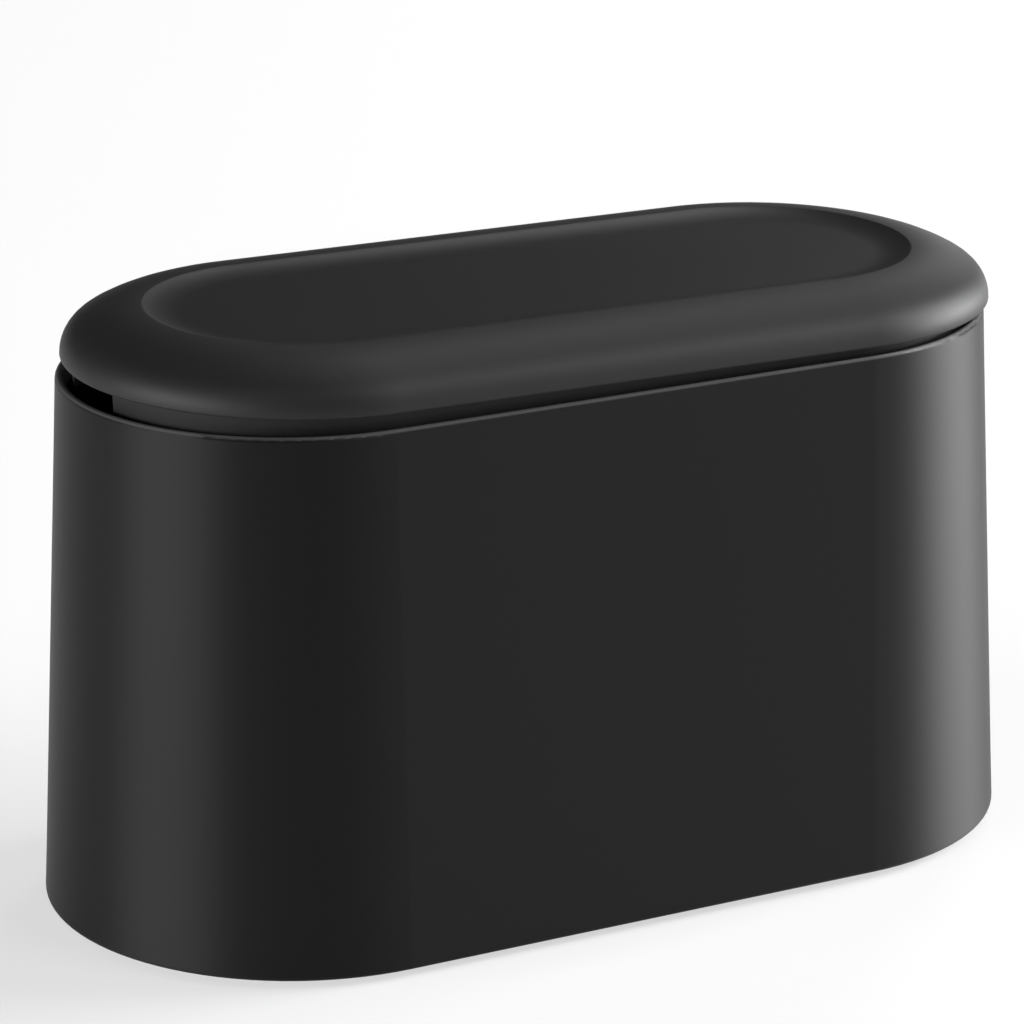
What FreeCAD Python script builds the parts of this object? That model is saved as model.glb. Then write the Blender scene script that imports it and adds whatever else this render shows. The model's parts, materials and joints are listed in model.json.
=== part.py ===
"""Countertop trash can: an obround steel shell, a lift-out bucket and a hinged, dished lid.

Millimetres. +X runs along the can towards the hinge, +Y to its back, +Z up. The origin is
on the surface that the can stands on, under the middle of the shell.
"""

import FreeCAD, Part
import math
import os

from FreeCAD import Vector

# Plan of the can: two straight sides joined by half-round ends
straight_half = 65.0       # half the length of a straight side, the reach of the end centres

# Shell: drafted sheet steel with a hemmed rim and an inturned bottom flange
foot_height = 2.0          # how far the shell stands above the table
shell_height = 134.0       # bottom flange to top of rim
rim_radius = 57.5          # outer radius of the ends at the rim
shell_flare = 6.4          # how much wider the ends' radius is at the bottom
shell_wall = 0.8           # sheet thickness
hem_width = 2.2            # rim, folded inwards, across its top
hem_depth = 5.0            # rim, from its top to the end of the fold
hem_round = 1.0            # edges of the rim
bend_round = 1.2           # outside bend at the bottom
flange_width = 8.0         # bottom flange, in from the outside

# Base pan: moulded tray on the bottom flange
pan_floor = 2.5            # floor thickness
pan_upstand = 14.0         # height of the edge above the floor
pan_edge = 2.0             # thickness of that edge
pan_gap = 0.3              # edge to shell
ring_wall = 1.8            # locating ring round the bucket's foot
ring_height = 5.0          # locating ring above the floor
ring_gap = 0.8             # ring to bucket
rib_wall = 1.6             # ribs from ring to edge
rib_angle = 45.0           # between the ribs on an end

# Rubber feet
foot_radius = 7.0
foot_round = 1.2
foot_pocket = 1.0          # how deep a foot sits in the pan
foot_gap = 0.1             # foot to pocket
foot_inset = 25.9          # foot centre in from the shell's outside

# Bucket: moulded, drafted, its collar stands above the rim
collar_gap = 1.8           # collar to the hem of the rim
collar_rise = 4.5          # collar above the rim
bucket_wall = 2.0
bucket_floor = 2.2
bucket_draft = 1.5         # degrees
bucket_round = 8.0         # outside corner at the floor
collar_round = 0.7         # top edge of the collar
seat_gap = 0.2             # bucket to pan
foot_bead = 1.2            # bead under the bucket, its height
bead_width = 2.4
bead_inset = 12.0          # bead in from the bucket's side
bead_round = 0.6

# Finger notch in the collar, opposite the hinge
notch_width = 24.0
notch_depth = 10.0         # below the rim
notch_round = 5.0

# Lid: rounded crown, dished top
lid_shift = 1.35           # lid sits this much towards its hinge
lid_gap = 1.75             # lip above the rim at the hinge
lid_tilt = 0.7             # degrees that the resting lid stands up at the notch end
lip_round = 0.6            # outer edge of the lip, below the widest line
crown_height = 11.9        # crest above the widest line
nose_round = 9.0           # small radius of the crown, at the widest line
crest_inset = 19.8         # crest, where the dish begins, in from the widest line
dish_depth = 1.5
dish_edge_round = 6.0      # convex part of the dish's edge
dish_foot_round = 38.0     # hollow part of the dish's edge
lid_wall = 2.2

# Liner: flat cover under the lid
liner_rise = 0.4           # liner above the collar at the hinge
liner_wall = 1.5
liner_gap = 0.5            # liner's edge to the inside of the lid
liner_pan_inset = 14.0     # raised middle of the liner, in from the edge
liner_pan_rise = 0.6
boss_radius = 3.4
boss_inset = 12.5          # screw bosses in from the lid's widest line

# Screws and rivets
screw_shank = 1.2          # radius
screw_head = 2.6           # radius
screw_head_height = 1.2
screw_grip = 3.4           # length in the boss
rivet_shank = 1.5          # radius
rivet_head = 2.5           # radius
rivet_head_height = 0.8
head_round = 0.4           # heads of screws and rivets
hole_gap = 0.1             # shank to clearance hole

# Bumpers: soft pads under the lid
bumper_radius = 2.4
bumper_angle = 35.0        # degrees round the end from the long axis
bumper_inset = 3.0         # centre in from the collar's outside
bumper_stem = 1.0          # stem radius
bumper_button = 1.6        # retaining button radius
bumper_button_height = 0.8
bumper_gap = 0.3           # pad to collar
bumper_round = 0.4         # lower edge of the pad

# Hinge: two leaves, bushes and a pin at the +X end
pivot_inset = 2.9          # pin in from the rim's outside
pivot_rise = 4.4           # pin above the rim
pin_radius = 1.25
pin_gap = 0.05             # pin to bush
press_gap = 0.01           # pieces pressed together
bush_wall = 0.6
bush_flange = 0.6          # flange thickness
bush_flange_radius = 2.5
bush_length = 4.0          # inside the knuckle
knuckle_radius = 2.6
knuckle_length = 6.0       # each knuckle of the lower leaf
middle_length = 10.4       # knuckle of the upper leaf
knuckle_gap = 0.1          # between knuckle and flange
leaf_wall = 0.8
leaf_drop = 14.0           # lower leaf below the rim
leaf_reach = 22.0          # upper leaf, from the pin
leaf_clearance = 0.6       # between parts of one leaf and the other's knuckles
clip_wall = 0.8
clip_radius = 2.2
clip_round = 0.2
pin_tip = 0.4              # pin past its clips
pin_round = 0.2
slot_gap = 1.0             # round the barrel, in the lid and the collar
collar_slot_angle = 22.0   # degrees, half of the collar's opening behind the barrel
land_depth = 2.4           # thickness of the bucket behind the lower leaf
rivet_spread = 7.0         # rivets to either side of the middle
rivet_drop = 7.5           # rivets below the rim
leaf_screw_spread = 7.0
leaf_screw_reach = 14.0    # upper leaf's screws, from the pin

# Heights and places that follow
base_radius = rim_radius + shell_flare
lid_radius = rim_radius    # the lid's widest line has the rim's outline
crest_radius = lid_radius - crest_inset
foot_out = base_radius - foot_inset
shell_bottom = foot_height
rim_top = shell_bottom + shell_height
flange_top = shell_bottom + shell_wall
pan_top = flange_top + pan_floor
bucket_bottom = pan_top + seat_gap
collar_top = rim_top + collar_rise
collar_radius = rim_radius - hem_width - collar_gap
lip_level = rim_top + lid_gap
widest_level = lip_level + lip_round
crest_level = widest_level + crown_height
liner_level = collar_top + liner_rise
pivot_x = straight_half + rim_radius - pivot_inset
pivot_z = rim_top + pivot_rise
barrel_half = middle_length / 2 + 2 * knuckle_gap + bush_flange + knuckle_length
slot_half = barrel_half + clip_wall + pin_tip + slot_gap
leaf_level = pivot_z + knuckle_radius
land_x = pivot_x - knuckle_radius
tolerance = 0.01           # for picking edges by their place
up = Vector(0, 0, 1)
across = Vector(0, 1, 0)
along = Vector(1, 0, 0)
far = 2 * (straight_half + base_radius)


def point(radius, height):
    """A point of a half-section: radius out from the spine, height up."""
    return Vector(radius, 0, height)


def rounded_section(corners):
    """A face from (radius, height, round) corners, its straight runs joined by tangent arcs."""
    edges = []
    starts = []
    ends = []
    middles = []
    for index, (radius, height, corner_round) in enumerate(corners):
        here = point(radius, height)
        before = point(*corners[index - 1][:2])
        after = point(*corners[(index + 1) % len(corners)][:2])
        back = (before - here).normalize()
        ahead = (after - here).normalize()
        half = back.getAngle(ahead) / 2
        bisector = (back + ahead).normalize() if corner_round else back
        starts.append(here + back * (corner_round / math.tan(half)))
        ends.append(here + ahead * (corner_round / math.tan(half)))
        middles.append(here + bisector * (corner_round / math.sin(half) - corner_round))
    for index, corner in enumerate(corners):
        if corner[2]:
            edges.append(Part.Arc(starts[index], middles[index], ends[index]).toShape())
        following = starts[(index + 1) % len(corners)]
        if ends[index].distanceToPoint(following) > 1e-6:
            edges.append(Part.LineSegment(ends[index], following).toShape())
    return Part.Face(Part.Wire(edges))


def around(section, shift=0.0):
    """Carry a half-section round the obround spine of the can."""
    pieces = []
    for side in (1, -1):
        centre = Vector(side * straight_half, 0, 0)
        start = section.copy()
        start.rotate(Vector(), up, -90 * side)
        side_run = start.copy()
        start.translate(centre)
        pieces.append(start.revolve(centre, up, 180))
        side_run.translate(Vector(-straight_half, 0, 0))
        pieces.append(side_run.extrude(along * (2 * straight_half)))
    whole = pieces[0].fuse(pieces[1:]).removeSplitter()
    whole.translate(along * shift)
    return whole.Solids[0]


def obround(radius, bottom, top, shift=0.0):
    """An upright obround block whose ends have the given radius."""
    corners = [(0, bottom, 0), (radius, bottom, 0), (radius, top, 0), (0, top, 0)]
    return around(rounded_section(corners), shift)


def block(low, high):
    """A box between two corners."""
    size = Vector(*high) - Vector(*low)
    return Part.makeBox(size.x, size.y, size.z, Vector(*low))


def rod(radius, start, direction, length):
    """A round bar."""
    return Part.makeCylinder(radius, length, start, direction)


def turned(corners, place, direction=up):
    """A turned piece from (radius, height, round) corners, set at a place."""
    piece = rounded_section(corners).revolve(Vector(), up, 360)
    piece = Part.Solid(piece.Shells[0]) if piece.ShapeType != "Solid" else piece
    turn = FreeCAD.Rotation(up, direction)
    piece.Placement = FreeCAD.Placement(place, turn)
    return piece


def wall_radius(height):
    """Outer radius of the shell's ends at a height."""
    share = (height - shell_bottom) / shell_height
    return base_radius + (rim_radius - base_radius) * share


def bucket_radius(height):
    """Outer radius of the bucket's ends at a height."""
    return collar_radius - (collar_top - height) * math.tan(math.radians(bucket_draft))


def body_shell():
    """Sheet shell: bottom flange, drafted wall and hemmed rim."""
    hem_bottom = rim_top - hem_depth
    section = rounded_section([
        (base_radius, shell_bottom, bend_round),
        (rim_radius, rim_top, hem_round),
        (rim_radius - hem_width, rim_top, hem_round),
        (rim_radius - hem_width, hem_bottom, 0),
        (wall_radius(hem_bottom) - shell_wall, hem_bottom, 0),
        (wall_radius(flange_top) - shell_wall, flange_top, bend_round - shell_wall),
        (base_radius - flange_width, flange_top, 0),
        (base_radius - flange_width, shell_bottom, 0),
    ])
    return around(section)


def foot_places():
    """Names and plan positions of the feet."""
    for end, x in (("left", -straight_half), ("right", straight_half)):
        for side, y in (("front", -foot_out), ("back", foot_out)):
            yield f"foot_{side}_{end}", Vector(x, y, 0)


def base_pan():
    """Tray with a drafted edge, a locating ring for the bucket and ribs between them."""
    edge_top = pan_top + pan_upstand
    edge_out = shell_wall + pan_gap
    tray = around(rounded_section([
        (0, flange_top, 0),
        (wall_radius(flange_top) - edge_out, flange_top, bend_round),
        (wall_radius(edge_top) - edge_out, edge_top, 0),
        (wall_radius(edge_top) - edge_out - pan_edge, edge_top, 0),
        (wall_radius(pan_top) - edge_out - pan_edge, pan_top, pan_edge),
        (0, pan_top, 0),
    ]))
    ring_top = pan_top + ring_height
    ring_in = bucket_radius(ring_top) + ring_gap
    ring_out = ring_in + ring_wall
    ring = obround(ring_out, flange_top, ring_top).cut(obround(ring_in, pan_top, ring_top))
    rib_reach = wall_radius(ring_top) - edge_out - pan_edge / 2
    rib_half = rib_wall / 2
    ribs = []
    for side in (-1, 1):
        for x in (-straight_half, 0, straight_half):
            rib = block((-rib_half, ring_in, pan_top - rib_half), (rib_half, rib_reach, ring_top))
            rib.rotate(Vector(), up, 90 - 90 * side)
            rib.translate(along * x)
            ribs.append(rib)
        for angle in (-rib_angle, 0, rib_angle):
            rib = block((ring_in, -rib_half, pan_top - rib_half), (rib_reach, rib_half, ring_top))
            rib.rotate(Vector(), up, angle + 90 - 90 * side)
            rib.translate(along * straight_half * side)
            ribs.append(rib)
    hollow = obround(ring_in, pan_top, ring_top)
    pan = tray.fuse([ring] + ribs).cut(hollow)
    pockets = [
        rod(foot_radius + foot_gap, place + up * flange_top, up, foot_pocket)
        for name, place in foot_places()
    ]
    return pan.cut(pockets).removeSplitter().Solids[0]


def foot(place):
    """Round rubber foot, its edge rounded where it meets the table."""
    corners = [
        (0, 0, 0),
        (foot_radius, 0, foot_round),
        (foot_radius, flange_top + foot_pocket, 0),
        (0, flange_top + foot_pocket, 0),
    ]
    return turned(corners, place)


def inner_bucket():
    """Drafted bucket with a foot bead, a finger notch and a flat land for the hinge."""
    floor_under = bucket_bottom + foot_bead
    floor_top = floor_under + bucket_floor
    bucket = around(rounded_section([
        (0, floor_under, 0),
        (bucket_radius(floor_under), floor_under, bucket_round),
        (collar_radius, collar_top, collar_round),
        (collar_radius - bucket_wall, collar_top, collar_round),
        (bucket_radius(floor_top) - bucket_wall, floor_top, bucket_round - bucket_wall),
        (0, floor_top, 0),
    ]))
    bead_out = bucket_radius(floor_under) - bead_inset
    bead = around(rounded_section([
        (bead_out - bead_width, bucket_bottom, bead_round),
        (bead_out, bucket_bottom, bead_round),
        (bead_out, floor_under + bucket_floor / 2, 0),
        (bead_out - bead_width, floor_under + bucket_floor / 2, 0),
    ]))
    slot_bottom = pivot_z - knuckle_radius - slot_gap
    land_bottom = rim_top - leaf_drop - slot_gap
    pad_x = land_x - land_depth
    pad_section = Part.makePolygon([
        Vector(pad_x, -slot_half, slot_bottom),
        Vector(pad_x, -slot_half, land_bottom),
        Vector(land_x, -slot_half, land_bottom - land_depth),
        Vector(land_x, -slot_half, slot_bottom),
        Vector(pad_x, -slot_half, slot_bottom),
    ])
    pad = Part.Face(pad_section).extrude(across * (2 * slot_half))
    outside = around(rounded_section([
        (0, floor_under, 0),
        (bucket_radius(floor_under), floor_under, 0),
        (collar_radius, collar_top, 0),
        (0, collar_top, 0),
    ]))
    bucket = bucket.fuse([bead, pad.common(outside)])
    land = block((land_x, -slot_half, land_bottom), (far, slot_half, far))
    end_centre = Vector(straight_half, 0, slot_bottom)
    hinge_slot = Part.makeCylinder(far, far, end_centre, up, 2 * collar_slot_angle)
    hinge_slot.rotate(end_centre, up, -collar_slot_angle)
    hole_length = land_depth + leaf_wall + bucket_wall
    rivet_holes = [rod(rivet_shank + press_gap, place - along * hole_length, along, hole_length)
                   for place in rivet_places()]
    bucket = bucket.cut([finger_notch(), land, hinge_slot] + rivet_holes)
    return bucket.removeSplitter().Solids[0]


def finger_notch():
    """The notch's shape: a slot through the collar with round lower corners."""
    bottom = rim_top - notch_depth
    half = notch_width / 2
    outer = straight_half + collar_radius
    notch = block((-outer - bucket_wall, -half, bottom), (-straight_half, half, far))
    corners = [edge for edge in notch.Edges
               if edge.BoundBox.ZMax < bottom + tolerance and edge.BoundBox.XLength > bucket_wall]
    return notch.makeFillet(notch_round, corners)


def lid_inside(height):
    """Inner radius of the lid's ends at a height on its nose."""
    bore = nose_round - lid_wall
    return lid_radius - nose_round + math.sqrt(bore ** 2 - (height - widest_level) ** 2)


def lid_skin(offset, base_level, edge_round=0.0):
    """Half-section inside the lid's outer surface, moved in by an offset, down to a level."""
    run = lid_radius - crest_radius
    flat_round = ((run - nose_round) ** 2 + crown_height ** 2 - nose_round ** 2)
    crown_round = flat_round / (2 * (crown_height - nose_round))
    nose_centre = point(lid_radius - nose_round, widest_level)
    crown_centre = point(crest_radius, crest_level - crown_round)
    meeting = (nose_centre - crown_centre).normalize()
    edge_centre = point(crest_radius, crest_level - dish_edge_round)
    dish_rounds = dish_edge_round + dish_foot_round
    dish_angle = math.acos(1 - dish_depth / dish_rounds)
    dish_lean = point(-math.sin(dish_angle), math.cos(dish_angle))
    foot_centre = edge_centre + dish_lean * dish_rounds

    def arc(centre, radius, first, last):
        """Arc about a centre between two unit directions."""
        middle = (first + last).normalize()
        return Part.Arc(centre + first * radius, centre + middle * radius, centre + last * radius)

    wide = lid_radius - offset
    lip = point(wide - edge_round, base_level)
    widest = point(wide, widest_level)
    if edge_round:
        side = arc(lip + up * edge_round, edge_round, -up, along)
    else:
        side = Part.LineSegment(lip, widest)
    floor = foot_centre - up * (dish_foot_round + offset)
    edges = [
        Part.LineSegment(point(0, base_level), lip),
        side,
        arc(nose_centre, nose_round - offset, along, meeting),
        arc(crown_centre, crown_round - offset, meeting, up),
        arc(edge_centre, dish_edge_round - offset, up, dish_lean),
        arc(foot_centre, dish_foot_round + offset, -dish_lean, -up),
        Part.LineSegment(floor, point(0, floor.z)),
        Part.LineSegment(point(0, floor.z), point(0, base_level)),
    ]
    return Part.Face(Part.Wire([edge.toShape() for edge in edges]))


def boss_places():
    """Plan positions of the liner's screws."""
    for x in (-straight_half, 0, straight_half):
        for side in (-1, 1):
            yield Vector(x + lid_shift, side * (lid_radius - boss_inset), 0)


def leaf_screw_places():
    """Plan positions of the upper leaf's screws."""
    for side in (-1, 1):
        yield Vector(pivot_x - leaf_screw_reach, side * leaf_screw_spread, 0)


def lid_top():
    """Lid moulding: even wall, screw bosses, a pad for the hinge leaf and a slot for the barrel."""
    outside = around(lid_skin(0, lip_level, lip_round), lid_shift)
    cavity = around(lid_skin(lid_wall, lip_level - lid_wall), lid_shift)
    liner_top = liner_level + liner_wall
    room = crest_level - liner_top
    bosses = [rod(boss_radius, place + up * liner_top, up, room) for place in boss_places()]
    pad_end = pivot_x - leaf_reach
    pad_half = barrel_half
    pad_start = pivot_x - knuckle_radius - slot_gap - leaf_clearance
    bosses.append(block((pad_end, -pad_half, leaf_level), (pad_start, pad_half, leaf_level + room)))
    inner_bosses = [boss.common(outside) for boss in bosses]
    lid = outside.cut(cavity).fuse(inner_bosses)
    slot_in = pivot_x - knuckle_radius - slot_gap
    slot = block((slot_in, -slot_half, lip_level - lid_wall), (far, slot_half, leaf_level + slot_gap))
    holes = [rod(screw_shank, place + up * liner_top, up, screw_grip) for place in boss_places()]
    holes += [rod(screw_shank, place + up * leaf_level, up, screw_grip)
              for place in leaf_screw_places()]
    return lid.cut([slot] + holes).removeSplitter().Solids[0]


def lid_liner():
    """Flat cover with a raised middle, screw holes and a cut-out for the hinge leaf."""
    liner_top = liner_level + liner_wall
    radius = lid_inside(liner_top) - liner_gap
    pan_radius = radius - liner_pan_inset
    liner = around(rounded_section([
        (0, liner_level + liner_pan_rise, 0),
        (pan_radius, liner_level + liner_pan_rise, 0),
        (pan_radius + liner_pan_rise, liner_level, 0),
        (radius, liner_level, 0),
        (radius, liner_top, 0),
        (0, liner_top, 0),
    ]), lid_shift)
    cut_out = block(
        (pivot_x - leaf_reach - leaf_clearance, -slot_half, 0),
        (far, slot_half, far),
    )
    holes = [rod(screw_shank + hole_gap, place, up, far) for place in boss_places()]
    holes += [rod(bumper_stem + press_gap, place, up, far) for place in bumper_places().values()]
    return liner.cut([cut_out] + holes).removeSplitter().Solids[0]


def screw(place, seat, length):
    """Pan-head screw, its head under a seat and its shank upwards."""
    shank = screw_shank - press_gap
    corners = [
        (0, -screw_head_height, 0),
        (screw_head, -screw_head_height, head_round),
        (screw_head, 0, 0),
        (shank, 0, 0),
        (shank, length, 0),
        (0, length, 0),
    ]
    return turned(corners, place + up * seat)


def liner_screws():
    """Screws through the liner into the lid's bosses."""
    length = liner_wall + screw_grip
    return Part.makeCompound([screw(place, liner_level, length) for place in boss_places()])


def leaf_screws():
    """Screws through the upper leaf into the lid."""
    seat = leaf_level - leaf_wall
    length = leaf_wall + screw_grip
    return Part.makeCompound([screw(place, seat, length) for place in leaf_screw_places()])


def bumper_places():
    """Plan positions of the lid's bumpers, on the collar at the notch end."""
    radius = collar_radius - bumper_inset
    lean = math.radians(bumper_angle)
    x = -straight_half - radius * math.cos(lean)
    y = radius * math.sin(lean)
    return {"lid_bumper_front": Vector(x, -y, 0), "lid_bumper_back": Vector(x, y, 0)}


def bumper(place):
    """Soft pad with a stem through the liner and a retaining button above it."""
    lift = (pivot_x - place.x) * math.tan(math.radians(lid_tilt))
    pad_bottom = collar_top + bumper_gap - lift
    liner_top = liner_level + liner_wall
    button_top = liner_top + bumper_button_height
    corners = [
        (0, pad_bottom, 0),
        (bumper_radius, pad_bottom, bumper_round),
        (bumper_radius, liner_level, 0),
        (bumper_stem, liner_level, 0),
        (bumper_stem, liner_top, 0),
        (bumper_button, liner_top, 0),
        (bumper_stem, button_top, 0),
        (0, button_top, 0),
    ]
    return turned(corners, place)


def rivet_places():
    """Centres of the rivets on the outer face of the lower leaf."""
    for side in (-1, 1):
        yield Vector(land_x + leaf_wall, side * rivet_spread, rim_top - rivet_drop)


def knuckle(low, high):
    """Outside of a hinge knuckle between two places along the pin."""
    return rod(knuckle_radius, Vector(pivot_x, low, pivot_z), across, high - low)


def hinge_leaf_lower():
    """Upright leaf on the bucket with two outer knuckles."""
    inner = barrel_half - knuckle_length
    plate = block(
        (land_x, -barrel_half, rim_top - leaf_drop),
        (land_x + leaf_wall, barrel_half, pivot_z),
    )
    window = block(
        (land_x, -inner, pivot_z - knuckle_radius - leaf_clearance),
        (land_x + leaf_wall, inner, pivot_z),
    )
    knuckles = [knuckle(-barrel_half, -inner), knuckle(inner, barrel_half)]
    leaf = plate.cut(window).fuse(knuckles)
    bore = rod(pin_radius + press_gap, Vector(pivot_x, -far / 2, pivot_z), across, far)
    holes = [rod(rivet_shank + press_gap, place - along * leaf_wall, along, leaf_wall)
             for place in rivet_places()]
    return leaf.cut([bore] + holes).removeSplitter().Solids[0]


def hinge_leaf_upper():
    """Flat leaf under the lid with one middle knuckle."""
    half = middle_length / 2
    under = leaf_level - leaf_wall
    wide_start = pivot_x - knuckle_radius - leaf_clearance
    tongue = block((wide_start, -half, under), (pivot_x, half, leaf_level))
    plate = block((pivot_x - leaf_reach, -barrel_half, under), (wide_start, barrel_half, leaf_level))
    leaf = plate.fuse([tongue, knuckle(-half, half)])
    bore_radius = pin_radius + pin_gap + bush_wall + press_gap
    bore = rod(bore_radius, Vector(pivot_x, -far / 2, pivot_z), across, far)
    holes = [rod(screw_shank + hole_gap, place + up * under, up, leaf_wall)
             for place in leaf_screw_places()]
    return leaf.cut([bore] + holes).removeSplitter().Solids[0]


def leaf_rivets():
    """Rivets through the lower leaf and the bucket's land."""
    grip = land_depth + leaf_wall
    corners = [
        (0, -grip - rivet_head_height, 0),
        (rivet_head, -grip - rivet_head_height, head_round),
        (rivet_head, -grip, 0),
        (rivet_shank, -grip, 0),
        (rivet_shank, 0, 0),
        (rivet_head, 0, 0),
        (rivet_head, rivet_head_height, head_round),
        (0, rivet_head_height, 0),
    ]
    return Part.makeCompound([turned(corners, place, along) for place in rivet_places()])


def hinge_pin():
    """Plain pin through both leaves."""
    half = barrel_half + knuckle_gap + clip_wall + pin_tip
    corners = [
        (0, -half, 0),
        (pin_radius, -half, pin_round),
        (pin_radius, half, pin_round),
        (0, half, 0),
    ]
    return turned(corners, Vector(pivot_x, 0, pivot_z), across)


def hinge_bush(side):
    """Flanged bush in one end of the upper leaf's knuckle."""
    half = middle_length / 2
    inner = pin_radius + pin_gap
    outer = inner + bush_wall
    corners = [
        (inner, half - bush_length, 0),
        (outer, half - bush_length, 0),
        (outer, half, 0),
        (bush_flange_radius, half, 0),
        (bush_flange_radius, half + bush_flange, 0),
        (inner, half + bush_flange, 0),
    ]
    return turned(corners, Vector(pivot_x, 0, pivot_z), across * side)


def pin_clip(side):
    """Push-on ring at one end of the pin."""
    start = barrel_half + knuckle_gap
    inner = pin_radius + press_gap
    corners = [
        (inner, start, 0),
        (clip_radius, start, 0),
        (clip_radius, start + clip_wall, clip_round),
        (inner, start + clip_wall, 0),
    ]
    return turned(corners, Vector(pivot_x, 0, pivot_z), across * side)


def tilted(piece):
    """A piece of the lid, turned from level to where the lid rests."""
    piece = piece.copy()
    piece.rotate(Vector(pivot_x, 0, pivot_z), across, lid_tilt)
    return piece


def all_pieces():
    """Every piece of the can by name, in its resting place."""
    pieces = {"body_shell": body_shell(), "base_pan": base_pan()}
    for name, place in foot_places():
        pieces[name] = foot(place)
    pieces["inner_bucket"] = inner_bucket()
    pieces["hinge_leaf_lower"] = hinge_leaf_lower()
    pieces["leaf_rivets"] = leaf_rivets()
    pieces["hinge_pin"] = hinge_pin()
    pieces["pin_clip_front"] = pin_clip(-1)
    pieces["pin_clip_back"] = pin_clip(1)
    on_lid = {
        "lid_top": lid_top(),
        "lid_liner": lid_liner(),
        "liner_screws": liner_screws(),
        "hinge_leaf_upper": hinge_leaf_upper(),
        "leaf_screws": leaf_screws(),
        "hinge_bush_front": hinge_bush(-1),
        "hinge_bush_back": hinge_bush(1),
    }
    for name, place in bumper_places().items():
        on_lid[name] = bumper(place)
    for name, piece in on_lid.items():
        pieces[name] = tilted(piece)
    return pieces


def main():
    """Build every piece and write one STEP file for each."""
    os.makedirs("parts", exist_ok=True)
    for name, piece in all_pieces().items():
        piece.exportStep(f"parts/{name}.step")
        size = piece.optimalBoundingBox()
        print(f"{name}: {piece.Volume:.0f} mm3, {size.XLength:.1f} x {size.YLength:.1f}"
              f" x {size.ZLength:.1f} mm, valid {piece.isValid()}")


main()
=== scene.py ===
"""Looks of the countertop trash can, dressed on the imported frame.

The steel shell, the pan, the bucket, the liner and the hinge come from the frame and get
their finishes here. The lid's moulding is modelled anew with a crisp-edged dish, and the
screws, rivets, feet and bumpers with the detail that an eye would find on them once the lid
is up. Metres; +X runs along the can to the hinge, +Y to its back, +Z up.
"""

import json
import logging
import math
from collections.abc import Sequence
from dataclasses import dataclass
from enum import Enum

import bmesh
import bpy
from mathutils import Matrix, Vector


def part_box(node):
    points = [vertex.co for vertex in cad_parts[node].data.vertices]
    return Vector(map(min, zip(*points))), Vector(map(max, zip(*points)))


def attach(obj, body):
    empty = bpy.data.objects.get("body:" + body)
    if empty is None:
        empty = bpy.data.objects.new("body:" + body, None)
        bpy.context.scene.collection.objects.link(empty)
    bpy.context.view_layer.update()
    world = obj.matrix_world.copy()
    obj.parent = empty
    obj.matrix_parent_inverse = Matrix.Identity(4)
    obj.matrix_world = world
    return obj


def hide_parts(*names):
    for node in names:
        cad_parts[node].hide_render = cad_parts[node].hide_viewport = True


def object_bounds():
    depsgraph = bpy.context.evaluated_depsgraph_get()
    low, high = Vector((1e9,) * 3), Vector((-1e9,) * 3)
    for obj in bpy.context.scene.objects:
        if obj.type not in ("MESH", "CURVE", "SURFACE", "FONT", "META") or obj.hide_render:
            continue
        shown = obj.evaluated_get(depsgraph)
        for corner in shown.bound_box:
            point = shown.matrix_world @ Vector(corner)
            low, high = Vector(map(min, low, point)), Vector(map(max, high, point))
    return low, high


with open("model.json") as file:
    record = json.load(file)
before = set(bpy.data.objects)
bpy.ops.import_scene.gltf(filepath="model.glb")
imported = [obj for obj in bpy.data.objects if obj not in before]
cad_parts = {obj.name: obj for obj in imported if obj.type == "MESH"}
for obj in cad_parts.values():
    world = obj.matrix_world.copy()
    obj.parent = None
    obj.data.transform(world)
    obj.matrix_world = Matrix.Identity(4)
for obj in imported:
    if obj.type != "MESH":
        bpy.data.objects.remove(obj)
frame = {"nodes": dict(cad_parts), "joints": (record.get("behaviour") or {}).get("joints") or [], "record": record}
cad_low, cad_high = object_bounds()

log = logging.getLogger("trash_can")

UP = Vector((0.0, 0.0, 1.0))
ORIGIN = Vector((0.0, 0.0, 0.0))
MM = 0.001
WELD = 0.001 * MM
CREASE = math.radians(30.0)
ARC_POINTS = 8
ROUND_PROFILE = 0.5

# Half of the lid's straight sides, and how far the lid sits towards its hinge
LID_HALF = 65.0 * MM
LID_SHIFT = 1.35 * MM

Section = Sequence[tuple[float, float]]


class Body(Enum):
    """The bodies of the frame that pieces ride on."""

    CAN = "can"
    BUCKET = "bucket"
    LID = "lid"


class Grain(Enum):
    """How a finish breaks up the light on its surface."""

    PEEL = "peel"
    SPARK = "spark"
    BRUSHED = "brushed"


# Layers of ever finer noise, in the slow drifts and in the grains that are noise
DRIFT_DETAIL = 3.0
GRAIN_DETAIL = {Grain.PEEL: 2.0, Grain.BRUSHED: 4.0}


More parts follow.
